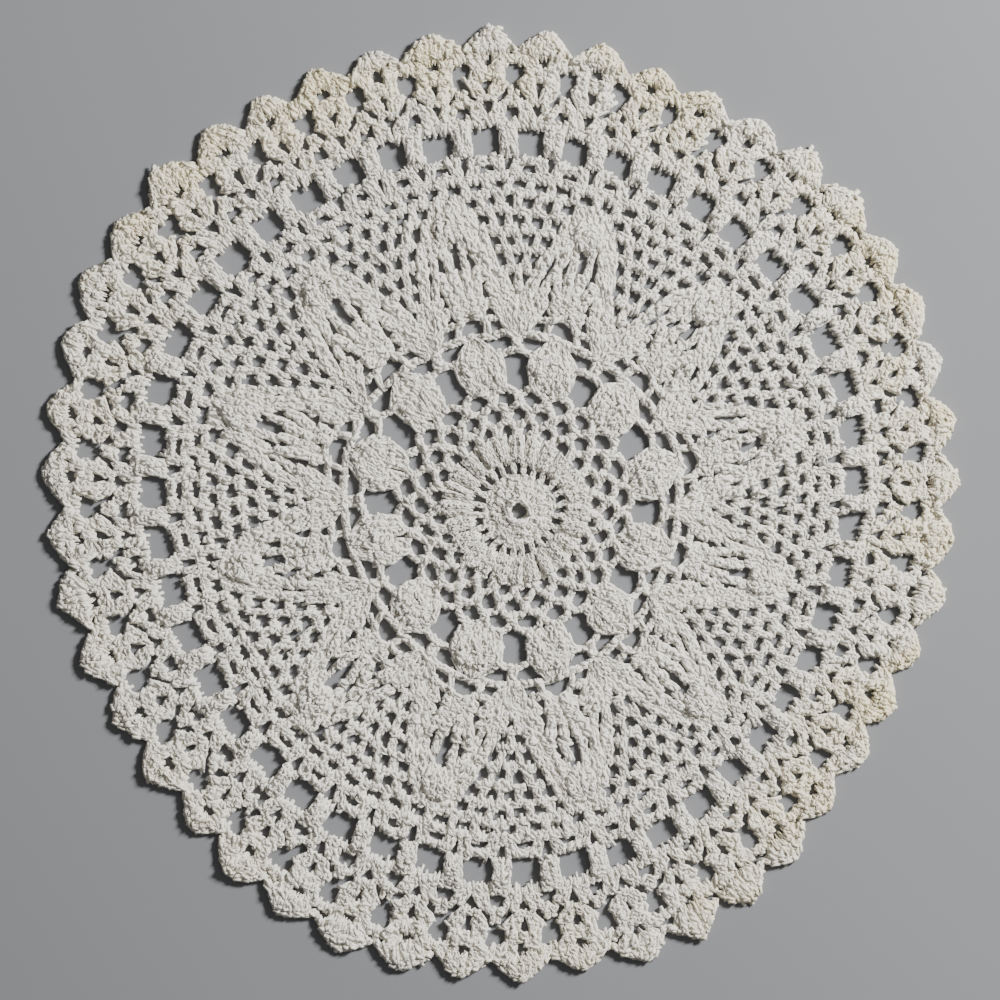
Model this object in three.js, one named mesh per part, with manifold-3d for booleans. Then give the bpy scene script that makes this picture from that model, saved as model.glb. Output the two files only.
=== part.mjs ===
// A round doily crocheted in white cotton thread, lying flat.
// Millimetres, +Z up. The underside is on z = 0 and the middle of the outline's box is the origin.
//
// The crochet grows from a start ring in the middle. It is drawn here in its own polar terms: a
// radius from the start ring and an angle round it, for a doily that lies perfectly round. lie()
// then moves each point to where the slightly pulled, uneven cloth really lies.

import * as THREE from "three";
import { mergeVertices } from "three/addons/utils/BufferGeometryUtils.js";
import Module from "manifold-3d";

const wasm = await Module();
wasm.setup();

// ---- driving dimensions -------------------------------------------------------------------

const THICKNESS = 2.0; // the crochet, from the surface that it lies on to its top
const PUFF = 0.8; // how far the close-worked motifs stand above the rest
const PUFF_SLOPE = 1.6; // how far in a puffed motif's top lies from its foot
const PUFF_ROOT = 0.9; // where a puffed motif starts, inside the thickness

const LEAVES = 12; // repeats of the middle, each with a lozenge and a leaf
const LEAF_STEP = 360 / LEAVES;
const FIRST_LEAF = 13.6; // angle of the first leaf's middle line, degrees from +X

const POINTS = 47; // points of the border, with as many eyelets and posts
const POINT_STEP = 360 / POINTS;
const FIRST_POINT = 1.9; // angle of the first point's tip

const ARCHES = 2 * LEAVES; // arches in each round of the trellis

const START_RING = 3.4; // radius of the hole in the start ring
const START_RING_SIDES = 12;

// How the round crochet is pulled out of true, in shares of the radius.
const DRIFT = { share: 0.0565, towards: 147 }; // each round sits further off centre than the last
const STRETCH = { share: 0.0214, along: 98 }; // longer one way than across it
const LOBES = [
  { count: 3, share: 0.0216, peak: 29 },
  { count: 4, share: 0.0039, peak: 7.5 },
  { count: 5, share: 0.0057, peak: 16 },
];
const SLIP = { degreesPerMillimetre: 0.017, at: 283 }; // stitches crowd together on one side

// The border's points are worked by hand, so their reach varies a little from one to the next.
const UNEVEN = [
  { turns: 1, reach: 0.9, peak: 315 },
  { turns: 7, reach: 1.5, peak: 40 },
  { turns: 19, reach: 0.6, peak: 5 },
];

// One point of the border, from valley to valley: the angle from its tip in half steps, and the
// radius.
const POINT_PROFILE = [
  { across: -1.0, radius: 167.6 },
  { across: -0.8, radius: 170.9 },
  { across: -0.4, radius: 174.0 },
  { across: 0.0, radius: 175.6 },
  { across: 0.4, radius: 174.0 },
  { across: 0.8, radius: 170.9 },
];

// Outlines of the gaps, anticlockwise. Across and out are in half widths and half heights.
const FORMS = {
  // between the arches of the trellis
  diamond: [[-1, 0.15], [-0.45, -0.85], [0.45, -0.85], [1, 0.15], [0.5, 0.9], [-0.5, 0.9]],
  // between two lozenges: a level top over a drawn-in foot
  shield: [[-1, 0.4], [-0.7, -0.4], [0, -1], [0.7, -0.4], [1, 0.4], [0.75, 1], [-0.75, 1]],
  // beside a lozenge's shoulder, under the arch that joins it to the next one
  shoulder: [[-1, 0.8], [0.15, -1], [1, -0.2], [0.95, 0.55], [0.2, 1]],
  // under the leaf's first shell
  window: [[-1, -0.35], [-0.5, -0.8], [0.2, -1], [1, 0.2], [0.75, 0.8], [0.1, 1], [-0.6, 0.5]],
  // down the leaf's middle line
  slit: [[-0.8, 0.1], [0, -1], [0.8, 0.2], [1, 0.7], [0.4, 1], [-0.8, 0.9]],
  // the large eyelets between two posts
  eyelet: [
    [-1, -0.5], [-0.6, -0.95], [0.6, -0.95], [1, -0.5], [1, 0.6], [0.8, 1], [-0.8, 1], [-1, 0.6],
  ],
  // between two shells of the border's first row
  wedge: [[-1, -1], [1, -1], [0.45, 1], [-0.45, 1]],
  // between the shells of the border's second and third rows
  lozenge: [[-1, 0.2], [-0.35, -0.95], [0.35, -0.95], [1, 0.2], [0.55, 1], [-0.55, 1]],
};

// Gaps wide enough to see through from a step away, ring by ring from the middle. first is the
// angle of the ring's first gap.
const GAPS = [
  { ring: "trellis 1", count: ARCHES, first: 6.1, radius: 29.8, wide: 3.7, tall: 5.4, form: "diamond" },
  { ring: "trellis 2", count: ARCHES, first: 13.6, radius: 35.7, wide: 4.8, tall: 5.8, form: "diamond" },
  { ring: "trellis 3", count: ARCHES, first: 6.1, radius: 41.8, wide: 6.1, tall: 6.2, form: "diamond" },
  { ring: "foot gaps", count: LEAVES, first: 28.6, radius: 50.7, wide: 9.6, tall: 11.0, form: "shield" },
  { ring: "shoulders", count: LEAVES, first: 22.0, radius: 60.6, wide: 9.5, tall: 6.4, form: "shoulder" },
  { ring: "windows", count: LEAVES, first: 13.6, radius: 67.8, wide: 8.9, tall: 7.0, form: "window" },
  { ring: "slits", count: LEAVES, first: 13.6, radius: 94.2, wide: 4.2, tall: 10.4, form: "slit" },
  { ring: "eyelets", count: POINTS, first: 3.0, radius: 134.5, wide: 10.0, tall: 10.8, form: "eyelet" },
  { ring: "wedges", count: POINTS, first: 6.0, radius: 144.2, wide: 6.6, tall: 4.9, form: "wedge" },
  { ring: "lozenges", count: POINTS, first: 5.8, radius: 158.5, wide: 8.8, tall: 9.2, form: "lozenge" },
];
// This ring is repeated on the other side of each leaf's middle line.
const MIRRORED_RING = "shoulders";

// Motifs worked so closely that they puff up, one of each to a leaf, in the same terms.
const PUFFS = [
  {
    motif: "lozenge",
    radius: 54.4,
    wide: 16.4,
    tall: 16.6,
    outline: [
      [-0.5, -0.95], [0.5, -0.95], [0.98, -0.3], [0.85, 0.35],
      [0.2, 1], [-0.2, 1], [-0.85, 0.35], [-0.98, -0.3],
    ],
  },
  {
    motif: "leaf tip",
    radius: 106.8,
    wide: 12.0,
    tall: 13.8,
    outline: [
      [-0.4, -1], [0.4, -1], [0.95, -0.4], [0.95, 0.35],
      [0.45, 1], [-0.45, 1], [-0.95, 0.35], [-0.95, -0.4],
    ],
  },
];

// ---- where the crochet lies ---------------------------------------------------------------

/** A unit vector at an angle in degrees. */
function heading(degrees) {
  const radians = THREE.MathUtils.degToRad(degrees);
  return new THREE.Vector2(Math.cos(radians), Math.sin(radians));
}

/** Where a point of the round crochet lies: radius in mm from the start ring, angle in degrees. */
function lie(radius, angle) {
  const slipped = angle + SLIP.degreesPerMillimetre * radius * heading(angle - SLIP.at).x;
  let share = 1;
  for (const lobes of LOBES) {
    share += lobes.share * heading(lobes.count * (slipped - lobes.peak)).x;
  }
  return heading(slipped)
    .multiplyScalar(share)
    .addScaledVector(heading(DRIFT.towards), DRIFT.share)
    .addScaledVector(heading(2 * STRETCH.along - slipped), STRETCH.share)
    .multiplyScalar(radius);
}

/** A small outline given in half widths across and half heights out, round a middle point. */
function place(outline, { radius, wide, tall }, angle) {
  const degreesAcross = THREE.MathUtils.radToDeg(wide / 2 / radius);
  return outline.map(([across, out]) => lie(radius + (out * tall) / 2, angle - across * degreesAcross));
}

// ---- outlines -----------------------------------------------------------------------------

/** The outer edge: the border's uneven points in a ring. */
function edgeOutline() {
  const outline = [];
  for (let point = 0; point < POINTS; point += 1) {
    const tip = FIRST_POINT + point * POINT_STEP;
    let extra = 0;
    for (const { turns, reach, peak } of UNEVEN) {
      extra += reach * heading(turns * (tip - peak)).x;
    }
    for (const { across, radius } of POINT_PROFILE) {
      outline.push(lie(radius + extra, tip + (across * POINT_STEP) / 2));
    }
  }
  return outline;
}

/** The hole in the start ring. */
function startRingOutline() {
  const outline = [];
  for (let side = 0; side < START_RING_SIDES; side += 1) {
    outline.push(lie(START_RING, (side * 360) / START_RING_SIDES));
  }
  return outline;
}

/** Every gap of one ring, as outlines. */
function ringOfGaps(gap) {
  const outlines = [];
  for (let index = 0; index < gap.count; index += 1) {
    outlines.push(place(FORMS[gap.form], gap, gap.first + (index * 360) / gap.count));
  }
  return outlines;
}

/** The same ring with each gap on the other side of its leaf's middle line. */
function mirroredRing(gap) {
  const outlines = [];
  const mirrored = FORMS[gap.form].map(([across, out]) => [-across, out]);
  for (let leaf = 0; leaf < LEAVES; leaf += 1) {
    outlines.push(place(mirrored, gap, 2 * FIRST_LEAF - gap.first + leaf * LEAF_STEP));
  }
  return outlines;
}

// ---- solids -------------------------------------------------------------------------------

/** A three.js geometry as a manifold solid. */
function toSolid(geometry) {
  const bare = geometry.clone();
  bare.deleteAttribute("normal");
  bare.deleteAttribute("uv");
  const merged = mergeVertices(bare);
  const vertProperties = new Float32Array(merged.attributes.position.array);
  const triVerts = new Uint32Array(merged.index.array);
  return new wasm.Manifold(new wasm.Mesh({ numProp: 3, vertProperties, triVerts }));
}

/** A manifold solid as a three.js geometry. */
function toGeometry(solid) {
  const mesh = solid.getMesh();
  const geometry = new THREE.BufferGeometry();
  geometry.setAttribute("position", new THREE.BufferAttribute(new Float32Array(mesh.vertProperties), 3));
  geometry.setIndex(new THREE.BufferAttribute(new Uint32Array(mesh.triVerts), 1));
  return geometry;
}

/** The flat crochet with its gaps cut through. */
function lacePlate() {
  const outlines = [startRingOutline()];
  for (const gap of GAPS) {
    outlines.push(...ringOfGaps(gap));
    if (gap.ring === MIRRORED_RING) {
      outlines.push(...mirroredRing(gap));
    }
  }
  const shape = new THREE.Shape(edgeOutline());
  shape.holes = outlines.map((outline) => new THREE.Path(outline));
  return new THREE.ExtrudeGeometry(shape, { depth: THICKNESS, bevelEnabled: false });
}

/** One puffed motif: a low cushion whose foot is sunk into the plate. */
function puffedMotif(puff, angle) {
  const geometry = new THREE.ExtrudeGeometry(new THREE.Shape(place(puff.outline, puff, angle)), {
    depth: THICKNESS - PUFF_ROOT,
    bevelEnabled: true,
    bevelThickness: PUFF,
    bevelSize: PUFF_SLOPE,
    bevelOffset: -PUFF_SLOPE,
    bevelSegments: 1,
  });
  return geometry.translate(0, 0, PUFF_ROOT);
}

/** The whole doily in one piece. */
function crochet() {
  let solid = toSolid(lacePlate());
  for (let leaf = 0; leaf < LEAVES; leaf += 1) {
    for (const puff of PUFFS) {
      solid = solid.add(toSolid(puffedMotif(puff, FIRST_LEAF + leaf * LEAF_STEP)));
    }
  }
  const geometry = toGeometry(solid);
  geometry.computeBoundingBox();
  const middle = geometry.boundingBox.getCenter(new THREE.Vector3());
  return geometry.translate(-middle.x, -middle.y, -geometry.boundingBox.min.z);
}

const cotton = new THREE.MeshStandardMaterial({ color: 0xdad7cd, roughness: 0.95, metalness: 0 });
const doily = new THREE.Mesh(crochet(), cotton);
doily.name = "doily";

const group = new THREE.Group();
group.add(doily);

export default group;
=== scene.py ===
"""A round doily crocheted in white cotton thread, worked stitch by stitch and laid on a pale surface.

The chart is in millimetres and degrees, as a radius from the start ring and an angle round it. What
goes to Blender is in metres.
"""

import logging
import math
from collections.abc import Iterable
from dataclasses import dataclass, field, fields, replace
from enum import Enum

import bmesh
import bpy
import numpy as np
from mathutils import Matrix, Vector


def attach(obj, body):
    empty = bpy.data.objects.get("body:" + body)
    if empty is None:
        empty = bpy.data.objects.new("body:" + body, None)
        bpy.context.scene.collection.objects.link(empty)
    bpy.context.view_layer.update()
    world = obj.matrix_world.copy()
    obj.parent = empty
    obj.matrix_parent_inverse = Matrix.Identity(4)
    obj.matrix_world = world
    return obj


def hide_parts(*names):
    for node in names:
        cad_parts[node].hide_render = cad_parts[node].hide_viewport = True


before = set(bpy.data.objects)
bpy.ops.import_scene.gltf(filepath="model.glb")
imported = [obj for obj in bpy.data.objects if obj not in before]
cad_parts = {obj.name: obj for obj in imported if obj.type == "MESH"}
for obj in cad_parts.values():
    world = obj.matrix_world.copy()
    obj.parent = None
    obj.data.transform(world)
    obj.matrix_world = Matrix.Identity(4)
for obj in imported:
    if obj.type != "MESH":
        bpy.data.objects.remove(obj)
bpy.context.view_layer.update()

LOG = logging.getLogger("doily")

MM = 0.001
NODE = "doily"
BODY = "root"
SEED = 20

LEAVES = 12  # repeats of the middle
LEAF_STEP = 360 / LEAVES
FIRST_LEAF = 13.6
ARCHES = 2 * LEAVES  # in a round of the trellis
ARCH_STEP = 360 / ARCHES
POINTS = 47  # points of the border
POINT_STEP = 360 / POINTS
FIRST_POINT = 1.9
FIRST_POST = 6.9
SHELL_TURN = 0.25  # from a point to the shell under it
JOIN_TURN = 0.15  # from midway between two points to the stitches that join their shells

STITCH_WIDTH = 2.8
LEAST_WIDTH = 0.7  # of a stitch, where several are worked from one place
THREAD_SIDES = 4
SEAM_SPAN = 0.6  # a face that takes up more of the way round a thread lies across its seam
SEAM_END = 0.4  # corners of such a face before this share of the way lie past the seam
FLOOR_GAP = 0.3  # how far the thread stays above the surface
GROUND_LIFT = 0.9  # stitches that are raised less than this have the close ground behind them
ARCH_BLUNT = 0.75  # how blunt an arch's top is: 1 is a half wave, less is squarer


# ---- how the cloth lies ----


@dataclass(frozen=True)
class Lobes:
    """A regular waviness of the cloth's outline."""

    count: int
    share: float
    peak: float


@dataclass(frozen=True)
class Ripple:
    """A slow push to and fro across the cloth, from stitches that were worked by hand."""

    length: float
    along: float
    towards: float
    push: float


@dataclass(frozen=True)
class Cloth:
    """Where the round crochet really lies, a little pulled out of true."""

    drift: float = 0.0565
    drift_towards: float = 147
    stretch: float = 0.0214
    stretch_along: float = 98
    lobes: tuple[Lobes, ...] = (Lobes(3, 0.0216, 29), Lobes(4, 0.0039, 7.5), Lobes(5, 0.0057, 16))
    slip: float = 0.017
    slip_at: float = 283
    heart: tuple[float, float] = (7.12, -3.07)
    ripples: tuple[Ripple, ...] = (
        Ripple(19, 20, 115, 0.32),
        Ripple(23, 140, 65, 0.32),
        Ripple(31, 75, 10, 0.36),
        Ripple(43, 115, 160, 0.4),
        Ripple(58, 5, 85, 0.4),
    )

    def lie(self, radius: np.ndarray, angle: np.ndarray) -> np.ndarray:
        """Chart places as points on the surface.

        Args:
            radius: Millimetres from the start ring.
            angle: Degrees round it.

        Returns:
            One row of x and y in millimetres for each place.
        """
        slipped = np.radians(angle + self.slip * radius * np.cos(np.radians(angle - self.slip_at)))
        share = np.ones_like(slipped)
        for lobes in self.lobes:
            share += lobes.share * np.cos(lobes.count * (slipped - math.radians(lobes.peak)))
        back = 2 * math.radians(self.stretch_along) - slipped
        drift = math.radians(self.drift_towards)
        x = share * np.cos(slipped) + self.drift * math.cos(drift) + self.stretch * np.cos(back)
        y = share * np.sin(slipped) + self.drift * math.sin(drift) + self.stretch * np.sin(back)
        x = radius * x + self.heart[0]
        y = radius * y + self.heart[1]
        push = np.zeros((len(x), 2))
        for ripple in self.ripples:
            across = x * math.cos(math.radians(ripple.along)) + y * math.sin(math.radians(ripple.along))
            towards = math.radians(ripple.towards)
            wave = ripple.push * np.sin(across * math.tau / ripple.length)
            push += wave[:, None] * (math.cos(towards), math.sin(towards))
        return np.column_stack((x, y)) + push


# ---- stitches ----


class Stitch(Enum):
    """The stitches that the doily is worked in."""

    CHAIN = "chain"
    SHORT = "short"
    TREBLE = "treble"
    TALL = "tall"


@dataclass(frozen=True)
class Strand:
    """One pass of the thread through a stitch: its path across, along and up, and its thickness."""

    thickness: float
    path: tuple[tuple[float, float, float], ...]


@dataclass(frozen=True)
class Shape:
    """One stitch's mesh as arrays: points across in widths, along in lengths and up in millimetres."""

    points: np.ndarray
    corners: np.ndarray
    sizes: np.ndarray
    thread: np.ndarray


@dataclass(frozen=True)
class Form:
    """How the thread runs through one kind of stitch of a standard width and length.

    The stray is how far such stitches stand out of line across and along.
    """

    width: float
    length: float
    stray: tuple[float, float]
    strands: tuple[Strand, ...]

    def shape(self, mirrored: bool, rng: np.random.Generator, sway: np.ndarray) -> Shape:
        """One version of the stitch as arrays.

        Args:
            mirrored: Whether the thread runs the other way about.
            rng: Draws how the thread strays.
            sway: How far it strays across, along and up.

        Returns:
            The stitch's mesh.
        """
        bm = bmesh.new()
        layers = (bm.verts.layers.float.new("around"), bm.verts.layers.float.new("along"))
        side = -1 if mirrored else 1
        for strand in self.strands:
            path = []
            for x, y, z in strand.path:
                stray = rng.normal(0, 1, 3) * sway
                path.append(Vector((side * x, y, z)) + Vector(stray))
            self._sweep(bm, path, strand.thickness / 2, layers)
        bmesh.ops.holes_fill(bm, edges=[edge for edge in bm.edges if edge.is_boundary], sides=0)
        bmesh.ops.recalc_face_normals(bm, faces=bm.faces)
        scale = np.array((1 / self.width, 1 / self.length, 1))
        shape = self.arrays(bm, layers, scale)
        bm.free()
        return shape

    @staticmethod
    def _sweep(bm: bmesh.types.BMesh, path: list[Vector], radius: float, layers: tuple) -> None:
        """Adds a thread along a path, as a ring that is extruded from point to point.

        Args:
            bm: The mesh that gets the thread.
            path: The thread's middle line.
            radius: Half its thickness.
            layers: The vertex layers for the way round and along the thread.
        """
        around, along = layers
        before = None
        run = 0.0
        edges = []
        for index, point in enumerate(path):
            ahead = path[min(index + 1, len(path) - 1)] - path[max(index - 1, 0)]
            place = Matrix.Translation(point) @ ahead.to_track_quat("Z", "Y").to_matrix().to_4x4()
            if before is None:
                made = bmesh.ops.create_circle(bm, segments=THREAD_SIDES, radius=radius, matrix=place)
                ring = made["verts"]
                edges = [edge for edge in bm.edges if edge.is_wire]
            else:
                made = bmesh.ops.extrude_edge_only(bm, edges=edges)["geom"]
                ring = [item for item in made if isinstance(item, bmesh.types.BMVert)]
                edges = [item for item in made if isinstance(item, bmesh.types.BMEdge)]
                bmesh.ops.transform(bm, matrix=place @ before.inverted(), verts=ring)
                run += (point - path[index - 1]).length
            for vert in ring:
                flat = place.inverted() @ vert.co
                vert[around] = (math.atan2(flat.y, flat.x) / math.tau) % 1
                vert[along] = run
            before = place

    @staticmethod
    def arrays(bm: bmesh.types.BMesh, layers: tuple, scale: np.ndarray) -> Shape:
        """A mesh as arrays, with the thread's own coordinates at each corner.

        Args:
            bm: The mesh.
            layers: Its vertex layers for the way round and along the thread.
            scale: What its points are multiplied by.

        Returns:
            The arrays.
        """
        around, along = layers
        bm.verts.index_update()
        points = np.array([tuple(vert.co) for vert in bm.verts]) * scale
        corners = []
        sizes = []
        thread = []
        # An extrusion makes its faces in another order each time, so they are put in order here.
        for face in sorted(bm.faces, key=lambda face: sorted(vert.index for vert in face.verts)):
            turns = [vert[around] for vert in face.verts]
            wraps = max(turns) - min(turns) > SEAM_SPAN
            for vert, turn in zip(face.verts, turns):
                corners.append(vert.index)
                thread.append((turn + 1 if wraps and turn < SEAM_END else turn, vert[along]))
            sizes.append(len(face.verts))
        return Shape(points, np.array(corners), np.array(sizes), np.array(thread))


FORMS: dict[Stitch, Form] = {
    Stitch.CHAIN: Form(
        width=2.9,
        length=2.7,
        stray=(0.18, 0.18),
        strands=(
            Strand(1.35, ((0.3, -0.9, 1.1), (-0.85, 0.8, 1.5), (-0.3, 2.9, 1.9))),
            Strand(1.35, ((-0.3, -0.9, 1.1), (0.85, 0.8, 1.5), (0.3, 2.9, 1.9))),
            Strand(1.3, ((-0.75, 0.2, 1.3), (0.0, 1.4, 2.3), (0.65, 3.0, 1.4))),
            Strand(1.4, ((0.0, -0.6, 0.8), (0.0, 2.8, 0.8))),
        ),
    ),
    Stitch.SHORT: Form(
        width=2.7,
        length=2.8,
        stray=(0.28, 0.3),
        strands=(
            Strand(1.2, ((-0.9, -0.5, 1.1), (-0.95, 1.2, 1.75), (-0.6, 2.9, 1.3))),
            Strand(1.25, ((-0.95, -0.4, 1.2), (0.1, 1.1, 2.1), (0.9, 2.5, 1.4))),
            Strand(1.2, ((0.9, -0.5, 1.1), (0.9, 1.0, 1.7), (0.5, 2.9, 1.3))),
            Strand(1.1, ((-1.1, 2.2, 1.5), (0.0, 2.9, 2.15), (1.1, 2.5, 1.5))),
        ),
    ),
    Stitch.TREBLE: Form(
        width=2.8,
        length=6.2,
        stray=(0.3, 0.4),
        strands=(
            Strand(1.2, ((-0.75, -0.6, 1.1), (-0.95, 1.4, 1.9), (-0.8, 3.6, 1.2))),
            Strand(1.2, ((0.75, -0.4, 1.1), (0.95, 1.6, 1.9), (0.8, 3.8, 1.2))),
            Strand(1.2, ((-0.9, 2.8, 1.2), (-0.9, 4.8, 1.95), (-0.65, 6.8, 1.1))),
            Strand(1.2, ((0.9, 3.0, 1.2), (0.9, 5.0, 1.95), (0.65, 6.9, 1.1))),
            Strand(1.25, ((-1.0, -0.4, 1.1), (0.05, 0.8, 2.1), (1.0, 1.8, 1.3))),
            Strand(1.25, ((1.0, 1.0, 1.2), (0.0, 2.2, 2.3), (-1.0, 3.4, 1.3))),
            Strand(1.25, ((-1.0, 2.7, 1.2), (0.0, 3.9, 2.3), (1.0, 5.1, 1.3))),
            Strand(1.25, ((0.95, 4.4, 1.3), (0.0, 5.5, 2.25), (-0.95, 6.6, 1.2))),
            Strand(1.05, ((-1.25, 5.9, 1.5), (0.0, 6.5, 2.05), (1.25, 6.2, 1.5))),
        ),
    ),
    Stitch.TALL: Form(
        width=2.6,
        length=10.2,
        stray=(0.26, 0.38),
        strands=(
            Strand(1.2, ((-0.7, -0.6, 1.1), (-0.9, 1.5, 1.9), (-0.75, 3.7, 1.2))),
            Strand(1.2, ((0.7, -0.5, 1.1), (0.9, 1.7, 1.9), (0.75, 3.9, 1.2))),
            Strand(1.2, ((-0.8, 3.0, 1.2), (-0.9, 5.0, 1.95), (-0.75, 7.2, 1.2))),
            Strand(1.2, ((0.8, 3.2, 1.2), (0.9, 5.2, 1.95), (0.75, 7.4, 1.2))),
            Strand(1.2, ((-0.8, 6.5, 1.2), (-0.75, 8.6, 1.95), (-0.5, 10.8, 1.1))),
            Strand(1.2, ((0.8, 6.7, 1.2), (0.75, 8.7, 1.95), (0.5, 10.9, 1.1))),
            Strand(1.2, ((-0.9, -0.3, 1.1), (0.0, 0.9, 2.1), (0.85, 2.1, 1.3))),
            Strand(1.2, ((0.9, 1.4, 1.2), (0.0, 2.7, 2.25), (-0.9, 3.9, 1.3))),
            Strand(1.2, ((-0.9, 3.1, 1.2), (0.0, 4.5, 2.25), (0.9, 5.7, 1.3))),
            Strand(1.2, ((0.9, 4.9, 1.2), (0.0, 6.2, 2.25), (-0.85, 7.4, 1.3))),
            Strand(1.2, ((-0.85, 6.7, 1.2), (0.0, 7.9, 2.25), (0.8, 9.1, 1.3))),
            Strand(1.2, ((0.75, 8.4, 1.2), (0.0, 9.5, 2.15), (-0.6, 10.6, 1.2))),
            Strand(1.05, ((-1.15, 9.9, 1.4), (0.0, 10.6, 2.0), (1.15, 10.2, 1.4))),
        ),
    ),
}


@dataclass(frozen=True)
class Worked:
    """One stitch on the chart: its foot and head as radius and angle, its widths and its lift."""

    stitch: Stitch
    foot: tuple[float, float]
    head: tuple[float, float]
    foot_width: float
    head_width: float
    lift: float = 0.0


@dataclass
class Laid:
    """Stitches as they really lie, one row of each array for a stitch."""

    stitch: np.ndarray
    foot: np.ndarray
    head: np.ndarray
    widths: np.ndarray
    lift: np.ndarray
    version: np.ndarray
    shade: np.ndarray
    reach: np.ndarray

    def only(self, chosen: np.ndarray) -> "Laid":
        """The chosen stitches."""
        return Laid(*(getattr(self, part.name)[chosen] for part in fields(self)))


def joined(lots: list[Laid]) -> Laid:
    """Several lots of laid stitches as one."""
    parts = ([getattr(lot, part.name) for lot in lots] for part in fields(Laid))
    return Laid(*(np.concatenate(part) for part in parts))


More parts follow.
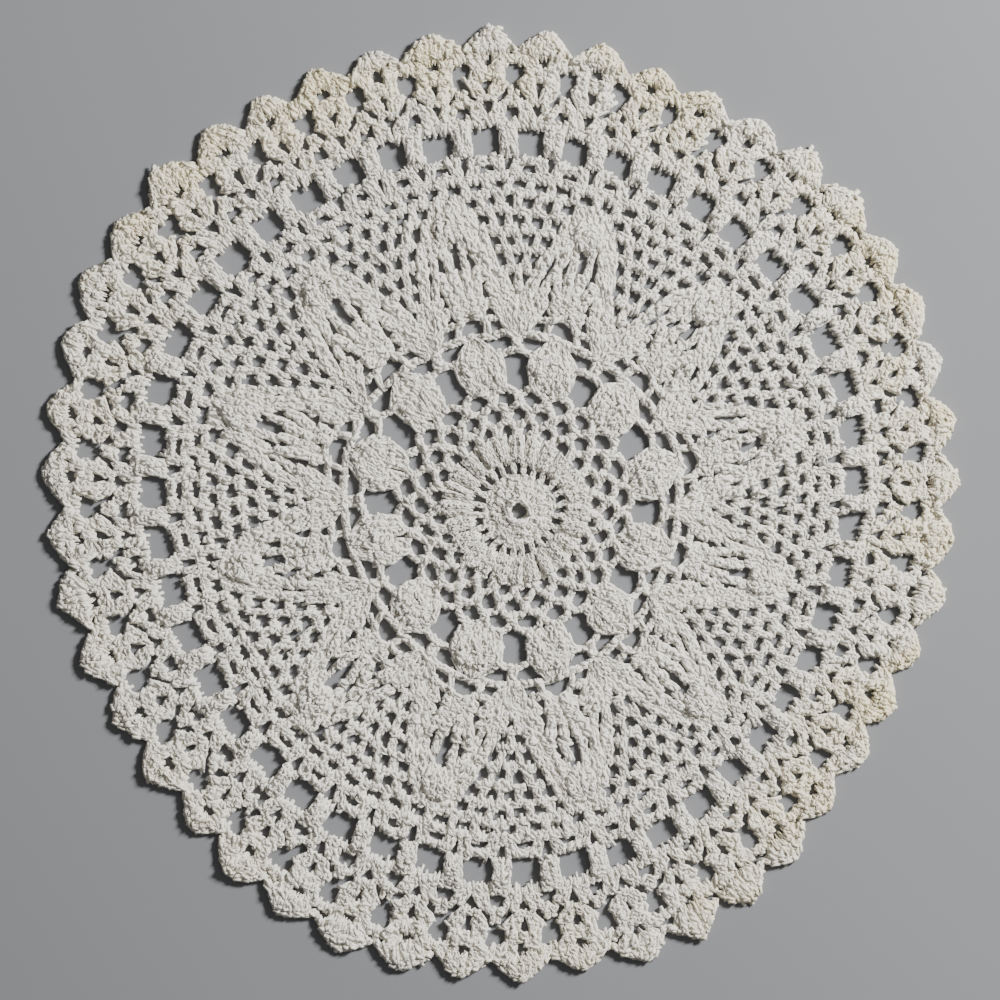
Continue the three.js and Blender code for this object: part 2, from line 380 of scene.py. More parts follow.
@dataclass
class Hook:
    """Lays stitches on the cloth, each a little uneven, and makes pieces of them."""

    cloth: Cloth = field(default_factory=Cloth)
    rng: np.random.Generator = field(default_factory=lambda: np.random.default_rng(SEED))
    versions: int = 12
    thread_sway: tuple[float, float, float] = (0.3, 0.5, 0.22)
    lift_sway: float = 0.22
    rough: float = 0.06
    width_sway: float = 0.06
    back_width: float = 0.86
    back_base: float = 0.8
    back_thickness: float = 1.0
    fullness: float = 1.12
    shapes: dict[tuple[Stitch, int], Shape] = field(default_factory=dict)

    def __post_init__(self) -> None:
        """Models a few versions of each stitch, every other one a mirror image."""
        for stitch, form in FORMS.items():
            for version in range(self.versions):
                shape = form.shape(version % 2 == 1, self.rng, np.array(self.thread_sway))
                self.shapes[stitch, version] = shape

    def lay(self, stitches: Iterable[Worked]) -> Laid:
        """Puts charted stitches where they really lie.

        Args:
            stitches: The stitches as charted.

        Returns:
            The same stitches, each a little off its place and with its own look.
        """
        stitches = list(stitches)
        count = len(stitches)
        foot = np.array([worked.foot for worked in stitches])
        head = np.array([worked.head for worked in stitches])
        widths = np.array([(worked.foot_width, worked.head_width) for worked in stitches])
        stray = np.array([FORMS[worked.stitch].stray for worked in stitches])
        return Laid(
            np.array([worked.stitch for worked in stitches], dtype=object),
            self._stray(foot, stray),
            self._stray(head, stray),
            widths * self.rng.normal(self.fullness, self.width_sway, (count, 1)),
            np.array([worked.lift for worked in stitches]) + self.rng.normal(0, self.lift_sway, count),
            self.rng.integers(0, self.versions, count),
            self.rng.random(count),
            head[:, 0],
        )

    def _stray(self, places: np.ndarray, stray: np.ndarray) -> np.ndarray:
        """Points on the surface a little off their places on the chart.

        Args:
            places: A row of radius and angle for each point.
            stray: How far each may lie off, across and along.

        Returns:
            A row of x and y in millimetres for each point.
        """
        across, along = self.rng.normal(0, stray).T
        radius = places[:, 0] + along
        return self.cloth.lie(radius, places[:, 1] + np.degrees(across / radius))

    def piece(self, name: str, laid: Laid) -> bpy.types.Object:
        """One piece of all the given stitches.

        Args:
            name: The piece's name.
            laid: Its stitches.

        Returns:
            The piece.
        """
        parts = []
        for (stitch, version), shape in self.shapes.items():
            chosen = (laid.stitch == stitch) & (laid.version == version)
            if chosen.any():
                parts.append((shape, laid.only(chosen)))
        return self._mesh(name, parts)

    def ground(self, name: str, laid: Laid) -> bpy.types.Object:
        """The close ground of thread behind the stitches, as flat blocks.

        Args:
            name: The piece's name.
            laid: The stitches that have it behind them.

        Returns:
            The piece.
        """
        bm = bmesh.new()
        layers = (bm.verts.layers.float.new("around"), bm.verts.layers.float.new("along"))
        bmesh.ops.create_cube(bm, size=1)
        size = Vector((self.back_width, 1, self.back_thickness))
        middle = Vector((0, 0.5, self.back_base + self.back_thickness / 2))
        bmesh.ops.scale(bm, vec=size, verts=bm.verts)
        bmesh.ops.translate(bm, vec=middle, verts=bm.verts)
        shape = Form.arrays(bm, layers, np.ones(3))
        bm.free()
        return self._mesh(name, [(shape, laid)])

    @staticmethod
    def _spread(shape: Shape, laid: Laid) -> np.ndarray:
        """Copies a shape's points to every stitch.

        Args:
            shape: The stitch's shape.
            laid: The stitches that have it.

        Returns:
            A row of x, y and z in metres for each point of each stitch.
        """
        along = laid.head - laid.foot
        side = np.column_stack((along[:, 1], -along[:, 0]))
        side /= np.linalg.norm(along, axis=1, keepdims=True)
        x, y, z = shape.points.T
        width = laid.widths[:, :1] * (1 - y) + laid.widths[:, 1:] * y
        flat = laid.foot[:, None] + along[:, None] * y[:, None] + side[:, None] * (width * x)[..., None]
        up = np.maximum(z + laid.lift[:, None], FLOOR_GAP)
        return np.concatenate((flat, up[..., None]), axis=2).reshape(-1, 3) * MM

    def _mesh(self, name: str, parts: list[tuple[Shape, Laid]]) -> bpy.types.Object:
        """A piece from copies of shapes, with the thread's UV map and the shade of each stitch.

        Args:
            name: The piece's name.
            parts: Each shape, with the stitches that have it.

        Returns:
            The piece.
        """
        points, corners, sizes, thread, shade, reach = [], [], [], [], [], []
        first = 0
        for shape, laid in parts:
            copies = len(laid.stitch)
            each = len(shape.points)
            rough = self.rng.normal(0, self.rough * MM, (copies * each, 3))
            points.append(self._spread(shape, laid) + rough)
            starts = first + each * np.arange(copies)
            corners.append((starts[:, None] + shape.corners).ravel())
            sizes.append(np.tile(shape.sizes, copies))
            thread.append(np.tile(shape.thread, (copies, 1)))
            shade.append(np.repeat(laid.shade, each))
            reach.append(np.repeat(laid.reach, each))
            first += copies * each
        mesh = bpy.data.meshes.new(name)
        mesh.vertices.add(first)
        mesh.vertices.foreach_set("co", np.concatenate(points).ravel())
        corner_list = np.concatenate(corners)
        size_list = np.concatenate(sizes)
        mesh.loops.add(len(corner_list))
        mesh.loops.foreach_set("vertex_index", corner_list)
        mesh.polygons.add(len(size_list))
        mesh.polygons.foreach_set("loop_start", np.cumsum(size_list) - size_list)
        mesh.polygons.foreach_set("use_smooth", np.ones(len(size_list), dtype=bool))
        mesh.uv_layers.new(name="Thread").data.foreach_set("uv", np.concatenate(thread).ravel())
        mesh.attributes.new("shade", "FLOAT", "POINT").data.foreach_set("value", np.concatenate(shade))
        mesh.attributes.new("reach", "FLOAT", "POINT").data.foreach_set("value", np.concatenate(reach))
        mesh.update(calc_edges=True)
        piece = bpy.data.objects.new(name, mesh)
        bpy.context.scene.collection.objects.link(piece)
        stitches = sum(len(laid.stitch) for _, laid in parts)
        LOG.info("%s: %d stitches, %d triangles", name, stitches, int((size_list - 2).sum()))
        return piece


# ---- working the chart ----


def width_at(degrees: float, radius: float) -> float:
    """How wide an angle is at a radius, in millimetres."""
    return math.radians(degrees) * radius


def degrees_of(width: float, radius: float) -> float:
    """The angle that a width takes up at a radius."""
    return math.degrees(width / radius)


@dataclass(frozen=True)
class Span:
    """A stretch of a round in one repeat: its radius, and its two ends as angles from the axis."""

    radius: float
    start: float
    end: float

    def out(self, more: float) -> "Span":
        """The same stretch further out."""
        return replace(self, radius=self.radius + more)

    def width(self, count: int) -> float:
        """How wide each of so many stitches on it is."""
        return max(width_at(abs(self.end - self.start) / count, self.radius), LEAST_WIDTH)

    def place(self, axis: float, side: int, share: float) -> tuple[float, float]:
        """The radius and angle at a share of the way along, on one side of an axis."""
        return self.radius, axis + side * (self.start + share * (self.end - self.start))


@dataclass(frozen=True)
class Cluster:
    """Stitches side by side in one repeat, from the span of their feet to that of their heads.

    The slit is the share of their heads' width that is left open. A paired cluster is worked again
    on the other side of the axis.
    """

    stitch: Stitch
    feet: Span
    heads: Span
    count: int
    lift: float = 0.0
    slit: float = 0.0
    paired: bool = False

    def work(self, axis: float) -> list[Worked]:
        """Works the cluster in one repeat.

        Args:
            axis: The angle of the repeat's middle line.

        Returns:
            The stitches.
        """
        foot_width = self.feet.width(self.count)
        head_width = self.heads.width(self.count) * (1 - self.slit)
        worked = []
        for side in (1, -1) if self.paired else (1,):
            for index in range(self.count):
                share = (index + 0.5) / self.count
                foot = self.feet.place(axis, side, share)
                head = self.heads.place(axis, side, share)
                worked.append(Worked(self.stitch, foot, head, foot_width, head_width, self.lift))
        return worked


@dataclass(frozen=True)
class Arch:
    """A run of chain stitches in one repeat, from foot to foot over a peak.

    The steeper it is, the more its feet stand upright.
    """

    feet: Span
    peak: float
    chains: int
    width: float = 2.6
    steep: float = 0.0
    paired: bool = False
    lift: float = 0.0

    def work(self, axis: float) -> list[Worked]:
        """Works the arch in one repeat.

        Args:
            axis: The angle of the repeat's middle line.

        Returns:
            The stitches.
        """
        worked = []
        for side in (1, -1) if self.paired else (1,):
            shares = [index / self.chains for index in range(self.chains + 1)]
            places = [self._place(axis, side, share) for share in shares]
            for foot, head in zip(places, places[1:]):
                worked.append(Worked(Stitch.CHAIN, foot, head, self.width, self.width, self.lift))
        return worked

    def _place(self, axis: float, side: int, share: float) -> tuple[float, float]:
        """The radius and angle at a share of the way along the arch."""
        radius, angle = self.feet.place(axis, side, share - self.steep * math.sin(math.tau * share))
        return radius + (self.peak - radius) * math.sin(math.pi * share) ** ARCH_BLUNT, angle


@dataclass(frozen=True)
class Motif:
    """Clusters and arches that are worked again and again round the doily."""

    count: int
    first: float
    parts: tuple[Cluster | Arch, ...]

    def work(self) -> list[Worked]:
        """Works every repeat.

        Returns:
            The stitches.
        """
        worked = []
        for index in range(self.count):
            for part in self.parts:
                worked += part.work(self.first + index * 360 / self.count)
        return worked


def close_round(stitch: Stitch, inner: float, outer: float, count: int, lift: float = 0.0) -> Motif:
    """A round of stitches side by side.

    Args:
        stitch: The stitch.
        inner: The radius of their feet.
        outer: The radius of their heads.
        count: How many go round.
        lift: How far they are raised.

    Returns:
        The round.
    """
    half = 180 / count
    feet = Span(inner, -half, half)
    heads = Span(outer, -half, half)
    return Motif(count, half, (Cluster(stitch, feet, heads, 1, lift),))


def work(motifs: Iterable[Motif]) -> list[Worked]:
    """The stitches of several motifs."""
    return [stitch for motif in motifs for stitch in motif.work()]


HEART = (
    Motif(
        1,
        0,
        (
            Arch(Span(4.4, -180, 180), 4.4, 10, 2.5),
            Arch(Span(4.5, -170, 190), 4.5, 10, 2.5, lift=1.5),
        ),
    ),
    close_round(Stitch.TREBLE, 4.8, 9.0, 22, 0.6),
    close_round(Stitch.SHORT, 8.3, 11.0, 25, 0.3),
    close_round(Stitch.SHORT, 10.8, 13.2, 30),
    Motif(
        ARCHES,
        FIRST_LEAF + ARCH_STEP / 2,
        (Cluster(Stitch.TREBLE, Span(12.9, -3.2, 3.2), Span(18.2, -3.2, 3.2), 1),),
    ),
    Motif(
        ARCHES,
        FIRST_LEAF,
        (
            Cluster(Stitch.TALL, Span(17.6, -7.4, 7.4), Span(27.4, -6.8, 6.8), 3, 0.2),
            Cluster(Stitch.TALL, Span(18.6, -4.4, 4.4), Span(26.6, -4.0, 4.0), 2, 0.9),
        ),
    ),
)

TRELLIS = (
    Motif(
        ARCHES,
        FIRST_LEAF,
        (
            Cluster(Stitch.SHORT, Span(26.2, -3.2, 3.2), Span(28.6, -3.3, 3.3), 1),
            Arch(Span(27.6, 0, ARCH_STEP), 33.5, 6, steep=0.075),
        ),
    ),
    Motif(
        ARCHES,
        FIRST_LEAF + ARCH_STEP / 2,
        (
            Cluster(Stitch.SHORT, Span(32.9, -2.8, 2.8), Span(35.2, -2.8, 2.8), 1),
            Arch(Span(34.2, 0, ARCH_STEP), 39.5, 6, steep=0.075),
        ),
    ),
    Motif(
        ARCHES,
        FIRST_LEAF,
        (
            Cluster(Stitch.SHORT, Span(38.8, -2.4, 2.4), Span(41.0, -2.4, 2.4), 1),
            Arch(Span(40.0, 0, ARCH_STEP), 45.4, 7, steep=0.075),
        ),
    ),
)

LOZENGES = (
    Motif(
        LEAVES,
        FIRST_LEAF,
        (
            Cluster(Stitch.TREBLE, Span(45.4, 0.4, 8.8), Span(52.0, 0.0, 10.0), 3, 0.3, paired=True),
            Cluster(Stitch.TREBLE, Span(51.4, -10.0, 10.0), Span(57.8, -9.6, 9.6), 7, 0.5),
            Cluster(Stitch.TREBLE, Span(57.2, -9.6, 9.6), Span(63.4, -3.8, 3.8), 6, 0.3),
            Cluster(Stitch.SHORT, Span(48.8, -6.4, 6.4), Span(51.6, -7.2, 7.2), 5, 1.0),
            Cluster(Stitch.SHORT, Span(51.6, -7.4, 7.4), Span(54.6, -7.4, 7.4), 6, 1.2),
            Cluster(Stitch.SHORT, Span(54.4, -7.2, 7.2), Span(57.4, -6.8, 6.8), 5, 1.2),
            Cluster(Stitch.SHORT, Span(57.2, -6.4, 6.4), Span(60.4, -4.6, 4.6), 4, 1.0),
        ),
    ),
    Motif(
        LEAVES,
        FIRST_LEAF + LEAF_STEP / 2,
        (
            Arch(Span(57.0, -5.8, 5.8), 58.8, 4),
            Cluster(Stitch.TREBLE, Span(58.2, -1.5, 1.5), Span(64.4, -1.7, 1.7), 1),
            Arch(Span(65.0, -15.0, 15.0), 65.0, 13, 2.9),
        ),
    ),
)

# The shells on the ring, which the leaves grow from.
SHELLS = (
    Motif(
        LEAVES,
        FIRST_LEAF + LEAF_STEP / 2,
        (
            Cluster(Stitch.TREBLE, Span(65.2, 0.0, 3.1), Span(71.6, 0.0, 6.6), 3, paired=True),
            Cluster(Stitch.TREBLE, Span(71.0, 0.0, 6.8), Span(77.6, 0.0, 9.6), 4, paired=True),
        ),
    ),
    Motif(
        LEAVES,
        FIRST_LEAF,
        (
            Arch(Span(65.6, -5.4, 5.4), 73.2, 6, steep=0.09),
            Arch(Span(70.6, 3.6, 8.6), 71.0, 3, paired=True),
            Cluster(Stitch.TREBLE, Span(73.2, 0.0, 4.6), Span(77.6, 0.0, 5.4), 2, 0.2, paired=True),
            Cluster(Stitch.TREBLE, Span(76.6, 0.0, 4.3), Span(81.6, 0.0, 4.4), 2, 0.2, paired=True),
            Cluster(Stitch.TALL, Span(79.4, 0.0, 4.4), Span(89.8, 0.0, 6.8), 2, 0.3, 0.36, True),
            Cluster(Stitch.SHORT, Span(99.8, -1.6, 1.6), Span(102.8, -1.7, 1.7), 2, 0.1),
            Cluster(Stitch.SHORT, Span(100.8, -1.9, 1.9), Span(103.8, -2.5, 2.5), 3, 1.0),
            Cluster(Stitch.SHORT, Span(103.6, -2.8, 2.8), Span(106.6, -3.0, 3.0), 4, 1.3),
            Cluster(Stitch.SHORT, Span(106.4, -3.0, 3.0), Span(109.4, -2.6, 2.6), 4, 1.3),
            Cluster(Stitch.SHORT, Span(109.2, -2.3, 2.3), Span(112.0, -1.4, 1.4), 3, 1.0),
        ),
    ),
)


@dataclass(frozen=True)
class Row:
    """One row of the leaves: its radii, the lean of its stitches, and what is left open in it.

    The open cells of the net are given by how many stand between two leaves, their pitch in degrees
    and half their width. A slit is given by its angle from a leaf's middle line and half its own.
    """

    inner: float
    outer: float
    lean: float
    cells: int
    pitch: float
    half: float
    slits: tuple[tuple[float, float], ...] = ()


@dataclass
class Leaves:
    """The solid leaves and the open net that takes over from them row by row."""

    bar_width: float = 2.6
    bar_overlap: float = 0.5
    lift: float = 0.1  # of the bars and the last round
    rows: tuple[Row, ...] = (
        Row(76.8, 82.2, 2.2, 1, 3.4, 1.2, ((0.0, 6.9),)),
        Row(81.8, 88.8, 2.2, 2, 3.9, 1.6, ((0.0, 6.3), (8.6, 0.5), (-9.0, 0.5))),
        Row(88.8, 95.9, 1.8, 3, 3.9, 2.1, ((-0.2, 1.3), (3.6, 0.8), (-3.8, 0.8), (6.8, 0.45))),
        Row(95.9, 102.9, 1.4, 4, 3.9, 2.2, ((-0.2, 1.4),)),
        Row(102.9, 110.0, 1.0, 5, 3.9, 2.4),
        Row(110.0, 116.6, 0.6, 6, 3.9, 2.5),
        Row(116.6, 122.4, 0.0, 7, 30 / 7, 3.0),
    )
    edge: float = 124.2
    line_stitches: int = 290

    def work(self, rows: Iterable[Row]) -> list[Worked]:
        """Works some of the rows.

        Args:
            rows: The rows.

        Returns:
            The stitches.
        """
        worked = []
        for row in rows:
            cuts = self._cuts(row)
            ends = cuts[1:] + [(cuts[0][0] + 360, 0.0, False)]
            for (_, start, _), (end, _, _) in zip(cuts, ends):
                worked += self._stretch(row, start, end)
            for start, end, barred in cuts:
                if barred:
                    worked += self._bar(row.outer, start, end)
        return worked

    def _bar(self, radius: float, start: float, end: float) -> list[Worked]:
        """Works the short stitches across the top of an open cell.

        Args:
            radius: Where the cell's top is.
            start: The angle of the cell's one side.
            end: The angle of its other side.

        Returns:
            The stitches.
        """
        more = degrees_of(self.bar_overlap, radius)
        feet = Span(radius - self.bar_width / 2, start - more, end + more)
        heads = Span(radius + self.bar_width / 2, start - more, end + more)
        count = max(1, round(width_at(end - start + 2 * more, radius) / STITCH_WIDTH))
        return Cluster(Stitch.SHORT, feet, heads, count, self.lift).work(0)

    @staticmethod
    def _stretch(row: Row, start: float, end: float) -> list[Worked]:
        """Works the stitches between two cuts, leaning away from the line between two leaves.

        Args:
            row: The row.
            start: The angle where the one cut ends.
            end: The angle where the next one starts.

        Returns:
            The stitches.
        """
        count = max(1, round(width_at(end - start, (row.inner + row.outer) / 2) / STITCH_WIDTH))
        feet = Span(row.inner, start, end)
        heads = Span(row.outer, start, end)
        worked = []
        for stitch in Cluster(Stitch.TREBLE, feet, heads, count).work(0):
            share = (stitch.foot[1] - FIRST_LEAF - LEAF_STEP / 2) / (LEAF_STEP / 2)
            push = row.lean / 2 * math.sin(math.pi * share)
            foot = (row.inner, stitch.foot[1] - push)
            worked.append(replace(stitch, foot=foot, head=(row.outer, stitch.head[1] + push)))
        return worked

    @staticmethod
    def _cuts(row: Row) -> list[tuple[float, float, bool]]:
        """Finds where a row is open, round the whole doily.

        Args:
            row: The row.

        Returns:
            The angles of each opening's two sides, and whether a bar closes its top.
        """
        half_cell = degrees_of(row.half, (row.inner + row.outer) / 2)
        cuts = []
        for leaf in range(LEAVES):
            axis = FIRST_LEAF + leaf * LEAF_STEP
            for cell in range(row.cells):
                middle = axis + LEAF_STEP / 2 + (cell - (row.cells - 1) / 2) * row.pitch
                cuts.append((middle - half_cell, middle + half_cell, True))
            for middle, half in row.slits:
                cuts.append((axis + middle - half, axis + middle + half, False))
        return sorted(cuts)

    def line(self) -> list[Worked]:
        """The close round of short stitches that ends the leaves."""
        inner = self.rows[-1].outer
        return close_round(Stitch.SHORT, inner, self.edge, self.line_stitches, self.lift).work()


POSTS = (
    Motif(
        POINTS,
        FIRST_POST,
        (
            Cluster(Stitch.TREBLE, Span(123.2, 0.3, 2.0), Span(129.6, 0.9, 3.1), 2, 0.1, paired=True),
            Cluster(Stitch.SHORT, Span(130.4, -1.4, 1.4), Span(132.8, -1.6, 1.6), 3, 0.3),
            Cluster(Stitch.TALL, Span(131.4, -1.2, 1.2), Span(141.6, -1.5, 1.5), 3, 0.3),
            Cluster(Stitch.SHORT, Span(132.4, -1.0, 1.0), Span(135.4, -1.1, 1.1), 2, 1.1),
            Cluster(Stitch.SHORT, Span(135.2, -1.15, 1.15), Span(138.2, -1.0, 1.0), 2, 1.1),
            Cluster(Stitch.SHORT, Span(138.0, -1.0, 1.0), Span(140.8, -1.2, 1.2), 2, 0.9),
        ),
    ),
    Motif(
        POINTS,
        FIRST_POST + POINT_STEP / 2,
        (
            Arch(Span(128.3, -1.5, 1.5), 128.6, 3, 3.2),
            Cluster(Stitch.SHORT, Span(140.4, -3.83, 3.83), Span(143.8, -3.83, 3.83), 8, 0.1),
        ),
    ),
)

BORDER = (
    Motif(
        POINTS,
        FIRST_POINT + SHELL_TURN,
        (
            Cluster(Stitch.TREBLE, Span(143.2, 0.0, 2.2), Span(149.2, 1.1, 3.0), 2, 0.1, paired=True),
            Cluster(Stitch.SHORT, Span(149.6, -1.5, 1.5), Span(152.0, -1.5, 1.5), 3, 0.2),
            Cluster(Stitch.TREBLE, Span(150.8, 0.0, 1.35), Span(156.4, 0.65, 3.1), 2, 0.1, paired=True),
            Cluster(Stitch.SHORT, Span(158.0, -1.6, 1.6), Span(160.6, -1.8, 1.8), 3, 0.2),
            Cluster(Stitch.SHORT, Span(160.4, -1.9, 1.9), Span(163.2, -2.2, 2.2), 4, 0.2),
            Cluster(Stitch.TREBLE, Span(156.2, 0.9, 2.5), Span(162.8, 0.9, 2.2), 1, 0.1, paired=True),
            Cluster(Stitch.SHORT, Span(162.8, 0.7, 2.4), Span(166.0, 0.9, 3.3), 2, 0.2, paired=True),
        ),
    ),
    Motif(
        POINTS,
        FIRST_POINT + JOIN_TURN + POINT_STEP / 2,
        (
            Cluster(Stitch.SHORT, Span(148.8, -1.5, 1.5), Span(151.2, -1.0, 1.0), 2, 0.1),
            Cluster(Stitch.SHORT, Span(150.8, -0.7, 0.7), Span(153.8, -0.8, 0.8), 2),
        ),
    ),
    Motif(
        POINTS,
        FIRST_POINT + POINT_STEP / 2,
        (Cluster(Stitch.SHORT, Span(163.8, -1.5, 1.5), Span(167.0, -1.3, 1.3), 3),),
    ),
)


@dataclass(frozen=True)
class Swell:
    """A slow change in the points' reach round the border."""

    turns: int
    reach: float
    peak: float

    def at(self, axis: float) -> float:
        """How much further out it brings the point on an axis."""
        return self.reach * math.cos(math.radians(self.turns * (axis - self.peak)))


@dataclass
class Points:
    """The fans that make the points of the border, each with a chain along its edge."""

    spokes: int = 7
    foot: float = 165.4
    foot_half: float = 1.9
    dot: float = 1.9
    middle: float = 171.0
    head_half: float = 3.3
    valley: float = 167.6
    tip: float = 175.6
    edge_half: float = 3.6
    edge_chains: int = 9
    edge_width: float = 2.8
    edge_round: float = 1.4
    edge_lift: float = 0.2
    spoke_reach: float = 0.86  # how far towards the valleys the outer spokes lean
    spoke_tuck: float = 0.6  # how far inside the edge the spokes end
    spoke_spread: float = 1.2
    spoke_lift: float = 0.1
    low_cover: Cluster = Cluster(Stitch.SHORT, Span(167.9, -1.9, 1.9), Span(170.2, -2.6, 2.6), 5, 0.8)
    high_cover: Cluster = Cluster(Stitch.SHORT, Span(170.0, -1.7, 1.7), Span(173.8, -1.1, 1.1), 3, 0.8)
    swells: tuple[Swell, ...] = (Swell(1, 0.9, 315), Swell(7, 1.5, 40), Swell(19, 0.6, 5))

    def work(self) -> list[Worked]:
        """Works every point.

        Returns:
            The stitches.
        """
        shares = [2 * step / self.edge_chains - 1 for step in range(self.edge_chains + 1)]
        width = self.edge_width
        worked = []
        for index in range(POINTS):
            axis = FIRST_POINT + index * POINT_STEP
            more = sum(swell.at(axis) for swell in self.swells)
            worked += self._fan(axis, more)
            places = [self._edge(axis, more, share) for share in shares]
            for foot, head in zip(places, places[1:]):
                worked.append(Worked(Stitch.CHAIN, foot, head, width, width, self.edge_lift))
        return worked

    def _edge(self, axis: float, more: float, share: float) -> tuple[float, float]:
        """A place on a point's edge, from one valley at -1 over the tip to the next valley at 1."""
        radius = self.valley + (self.tip - self.valley) * (1 - abs(share) ** self.edge_round) + more
        return radius, axis + share * self.edge_half

    def _fan(self, axis: float, more: float) -> list[Worked]:
        """Works the stitches that spread from a point's foot, with shorter ones over them.

        Args:
            axis: The angle of the point's middle line.
            more: How much further out than usual the point reaches.

        Returns:
            The stitches.
        """
        fan = []
        foot_width = width_at(2 * self.foot_half / self.spokes, self.foot)
        head_width = width_at(2 * self.head_half / self.spokes, self.middle) * self.spoke_spread
        for spoke in range(self.spokes):
            share = (spoke + 0.5) / self.spokes * 2 - 1
            foot = (self.foot + self.dot * (1 - abs(share)), axis + share * self.foot_half)
            reach, angle = self._edge(axis, more, share * self.spoke_reach)
            head = (reach - self.spoke_tuck, angle)
            fan.append(Worked(Stitch.TREBLE, foot, head, foot_width, head_width, self.spoke_lift))
        low = replace(self.low_cover, heads=self.low_cover.heads.out(more))
        feet = self.high_cover.feet.out(more)
        high = replace(self.high_cover, feet=feet, heads=self.high_cover.heads.out(more))
        return fan + low.work(axis) + high.work(axis)


# ---- finishes ----


Socket = bpy.types.NodeSocket
Fed = Socket | float | tuple[float, ...]  # what an input gets


@dataclass(frozen=True)
class Nodes:
    """The nodes that a material is put together from."""

    tree: bpy.types.NodeTree

    def feed(self, node: bpy.types.Node, inputs: dict[int | str, Fed]) -> None:
        """Feeds a node.

        Args:
            node: The node.
            inputs: What each of its inputs gets, a value or another node's output.
        """
        for key, value in inputs.items():
            if isinstance(value, Socket):
                self.tree.links.new(value, node.inputs[key])
            else:
                node.inputs[key].default_value = value

    def add(self, kind: str, inputs: dict[int | str, Fed], **settings: str) -> bpy.types.Node:
        """Adds a node.

        Args:
            kind: Its type.
            inputs: What each of its inputs gets.
            settings: Its other settings.

        Returns:
            The node.
        """
        node = self.tree.nodes.new(f"ShaderNode{kind}")
        for name, setting in settings.items():
            setattr(node, name, setting)
        self.feed(node, inputs)
        return node

    def place(self) -> Socket:
        """Where on the doily a point is."""
        return self.add("TexCoord", {}).outputs["Object"]

    def attribute(self, name: str) -> Socket:
        """The value of one of the piece's attributes."""
        return self.add("Attribute", {}, attribute_name=name).outputs["Fac"]

    def noise(self, scale: float, detail: float) -> Socket:
        """Noise over the doily."""
        inputs = {"Vector": self.place(), "Scale": scale, "Detail": detail}
        return self.add("TexNoise", inputs).outputs["Fac"]

    def rise(self, value: Socket, low: float, high: float, least: float = 0.0) -> Socket:
        """A share that rises from a least one to 1 as a value goes from low to high."""
        inputs = {"Value": value, "From Min": low, "From Max": high, "To Min": least}
        return self.add("MapRange", inputs).outputs["Result"]

    def sum(self, one: Socket, other: Socket) -> Socket:
        """Two values added up."""
        return self.add("Math", {0: one, 1: other}, operation="ADD").outputs[0]

    def product(self, one: Socket, other: Socket) -> Socket:
        """Two values multiplied."""
        return self.add("Math", {0: one, 1: other}, operation="MULTIPLY").outputs[0]

    def blend(self, share: Socket, colour: Socket | tuple, other: tuple) -> Socket:
        """A colour that turns into another by a share."""
        inputs = {"Factor": share, "A": colour, "B": other}
        return self.add("Mix", inputs, data_type="RGBA").outputs["Result"]


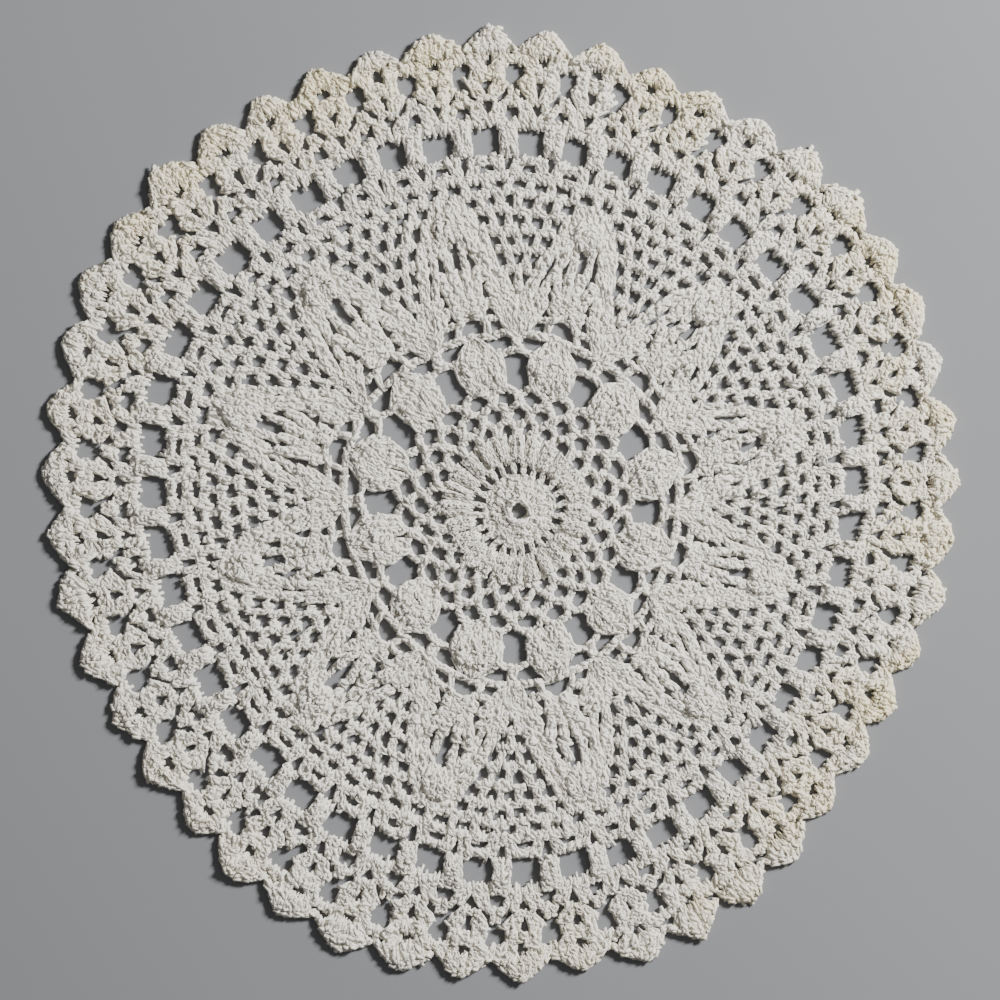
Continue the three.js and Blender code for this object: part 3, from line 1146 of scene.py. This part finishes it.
@dataclass(frozen=True)
class CottonFinish:
    """Matt white cotton thread with its twist, slightly uneven in shade and cream at the points.

    A grain is a noise's scale and detail. The cream sets in over a range of radii, in patches, and
    mostly on one side of the doily.
    """

    white: tuple[float, float, float] = (0.83, 0.79, 0.70)
    shaded: tuple[float, float, float] = (0.70, 0.66, 0.585)
    cream: tuple[float, float, float] = (0.79, 0.70, 0.46)
    roughness: float = 0.9
    sheen: float = 0.35
    shade_grain: tuple[float, float] = (260, 4)
    cream_reach: tuple[float, float] = (138, 176)
    patch_grain: tuple[float, float] = (24, 2)
    patch_range: tuple[float, float] = (0.4, 0.58)
    patch_least: float = 0.2
    side: tuple[float, float, float] = (0.7071, 0.7071, 0)
    side_range: tuple[float, float] = (-0.12, -0.02)
    side_least: float = 0.25
    twist_scale: tuple[float, float, float] = (1.0, 0.62, 1.0)
    twist_distortion: float = 1.5
    fuzz_grain: tuple[float, float] = (1300, 2)
    bump_strength: float = 0.6
    bump_height: float = 0.00017

    def material(self, name: str) -> bpy.types.Material:
        """Makes the finish.

        Args:
            name: The material's name.

        Returns:
            The material.
        """
        material = bpy.data.materials.new(name)
        material.use_nodes = True
        nodes = Nodes(material.node_tree)
        inputs = {
            "Base Color": self._creamed(nodes, self._shaded(nodes)),
            "Roughness": self.roughness,
            "Sheen Weight": self.sheen,
            "Normal": self._relief(nodes),
        }
        nodes.feed(nodes.tree.nodes["Principled BSDF"], inputs)
        return material

    def _shaded(self, nodes: Nodes) -> Socket:
        """White thread that is a little darker in some stitches."""
        share = nodes.product(nodes.noise(*self.shade_grain), nodes.attribute("shade"))
        return nodes.blend(share, (*self.white, 1), (*self.shaded, 1))

    def _creamed(self, nodes: Nodes, thread: Socket) -> Socket:
        """Thread with cream patches at the points.

        Args:
            nodes: The material's nodes.
            thread: The thread's colour without them.

        Returns:
            The colour.
        """
        ends = nodes.rise(nodes.attribute("reach"), *self.cream_reach)
        patches = nodes.rise(nodes.noise(*self.patch_grain), *self.patch_range, self.patch_least)
        across = nodes.add("VectorMath", {0: nodes.place(), 1: self.side}, operation="DOT_PRODUCT")
        side = nodes.rise(across.outputs["Value"], *self.side_range, self.side_least)
        share = nodes.product(nodes.product(ends, patches), side)
        return nodes.blend(share, thread, (*self.cream, 1))

    def _relief(self, nodes: Nodes) -> Socket:
        """The thread's twist and fuzz, as a bumped normal.

        Args:
            nodes: The material's nodes.

        Returns:
            The normal.
        """
        thread = nodes.add("UVMap", {}, uv_map="Thread").outputs["UV"]
        lay = nodes.add("Mapping", {"Vector": thread, "Scale": self.twist_scale}).outputs["Vector"]
        inputs = {"Vector": lay, "Scale": 1.0, "Distortion": self.twist_distortion}
        twist = nodes.add("TexWave", inputs, wave_type="BANDS", bands_direction="DIAGONAL")
        height = nodes.sum(twist.outputs["Fac"], nodes.noise(*self.fuzz_grain))
        inputs = {"Strength": self.bump_strength, "Distance": self.bump_height, "Height": height}
        return nodes.add("Bump", inputs).outputs["Normal"]


@dataclass(frozen=True)
class FloorFinish:
    """A plain pale grey surface."""

    colour: tuple[float, float, float] = (0.217, 0.22, 0.229)
    roughness: float = 0.8

    def material(self, name: str) -> bpy.types.Material:
        """Makes the finish.

        Args:
            name: The material's name.

        Returns:
            The material.
        """
        material = bpy.data.materials.new(name)
        material.use_nodes = True
        nodes = Nodes(material.node_tree)
        inputs = {"Base Color": (*self.colour, 1), "Roughness": self.roughness}
        nodes.feed(nodes.tree.nodes["Principled BSDF"], inputs)
        return material


# ---- the studio ----


@dataclass
class Studio:
    """The floor, the lights and the camera."""

    floor_size: float = 4.0
    camera_height: float = 1.6
    view_width: float = 0.38
    view_middle: tuple[float, float] = (-0.0003, 0.0015)
    sensor: float = 36.0
    key_power: float = 75.0
    key_size: float = 0.34
    key_distance: float = 1.7
    key_azimuth: float = 32.0
    key_elevation: float = 33.0
    fill: float = 0.17

    def build(self) -> None:
        """Sets up the floor, the lights and the camera."""
        self._floor()
        self._key()
        self._fill()
        self._camera()

    def _floor(self) -> None:
        """A plain floor that the doily lies on."""
        mesh = bpy.data.meshes.new("floor")
        bm = bmesh.new()
        bmesh.ops.create_grid(bm, x_segments=1, y_segments=1, size=self.floor_size / 2)
        bm.to_mesh(mesh)
        bm.free()
        floor = bpy.data.objects.new("floor", mesh)
        bpy.context.scene.collection.objects.link(floor)
        floor.data.materials.append(FloorFinish().material("pale floor"))

    def _key(self) -> None:
        """The main light, low from the right."""
        light = bpy.data.lights.new("key", "AREA")
        light.energy = self.key_power
        light.size = self.key_size
        key = bpy.data.objects.new("key", light)
        azimuth = math.radians(self.key_azimuth)
        elevation = math.radians(self.key_elevation)
        flat = math.cos(elevation) * self.key_distance
        height = math.sin(elevation) * self.key_distance
        key.location = (flat * math.cos(azimuth), flat * math.sin(azimuth), height)
        key.rotation_euler = Vector(key.location).to_track_quat("Z", "Y").to_euler()
        bpy.context.scene.collection.objects.link(key)

    def _fill(self) -> None:
        """Soft light from all round."""
        world = bpy.data.worlds.new("soft light")
        world.use_nodes = True
        world.node_tree.nodes["Background"].inputs["Color"].default_value = (1, 1, 1, 1)
        world.node_tree.nodes["Background"].inputs["Strength"].default_value = self.fill
        bpy.context.scene.world = world

    def _camera(self) -> None:
        """The camera, straight above the doily."""
        lens = bpy.data.cameras.new("camera")
        lens.sensor_width = self.sensor
        lens.lens = self.sensor * self.camera_height / self.view_width
        camera = bpy.data.objects.new("camera", lens)
        camera.location = (*self.view_middle, self.camera_height)
        bpy.context.scene.collection.objects.link(camera)
        bpy.context.scene.camera = camera


# ---- the doily ----


def dress(piece: bpy.types.Object, material: bpy.types.Material) -> None:
    """Gives a piece its material and its place in the frame.

    Args:
        piece: The piece.
        material: Its material.
    """
    piece.data.materials.append(material)
    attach(piece, BODY)
    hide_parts(NODE)


def main() -> None:
    """Works the doily band by band and sets up the studio."""
    logging.basicConfig(level=logging.INFO, format="%(message)s")
    hook = Hook()
    cotton = CottonFinish().material("cotton crochet")
    leaves = Leaves()
    bands = {
        "doily_heart": work(HEART + TRELLIS),
        "doily_lozenges": work(LOZENGES),
        "doily_leaves": work(SHELLS) + leaves.work(leaves.rows[:4]),
        "doily_net": leaves.work(leaves.rows[4:]) + leaves.line(),
        "doily_eyelets": work(POSTS),
        "doily_shells": work(BORDER),
        "doily_points": Points().work(),
    }
    lots = []
    for name, worked in bands.items():
        laid = hook.lay(worked)
        piece = hook.piece(name, laid)
        dress(piece, cotton)
        lots.append(laid)
    laid = joined(lots)
    ground = hook.ground("doily_ground", laid.only(laid.lift < GROUND_LIFT))
    dress(ground, cotton)
    Studio().build()


if __name__ == "__main__":
    main()
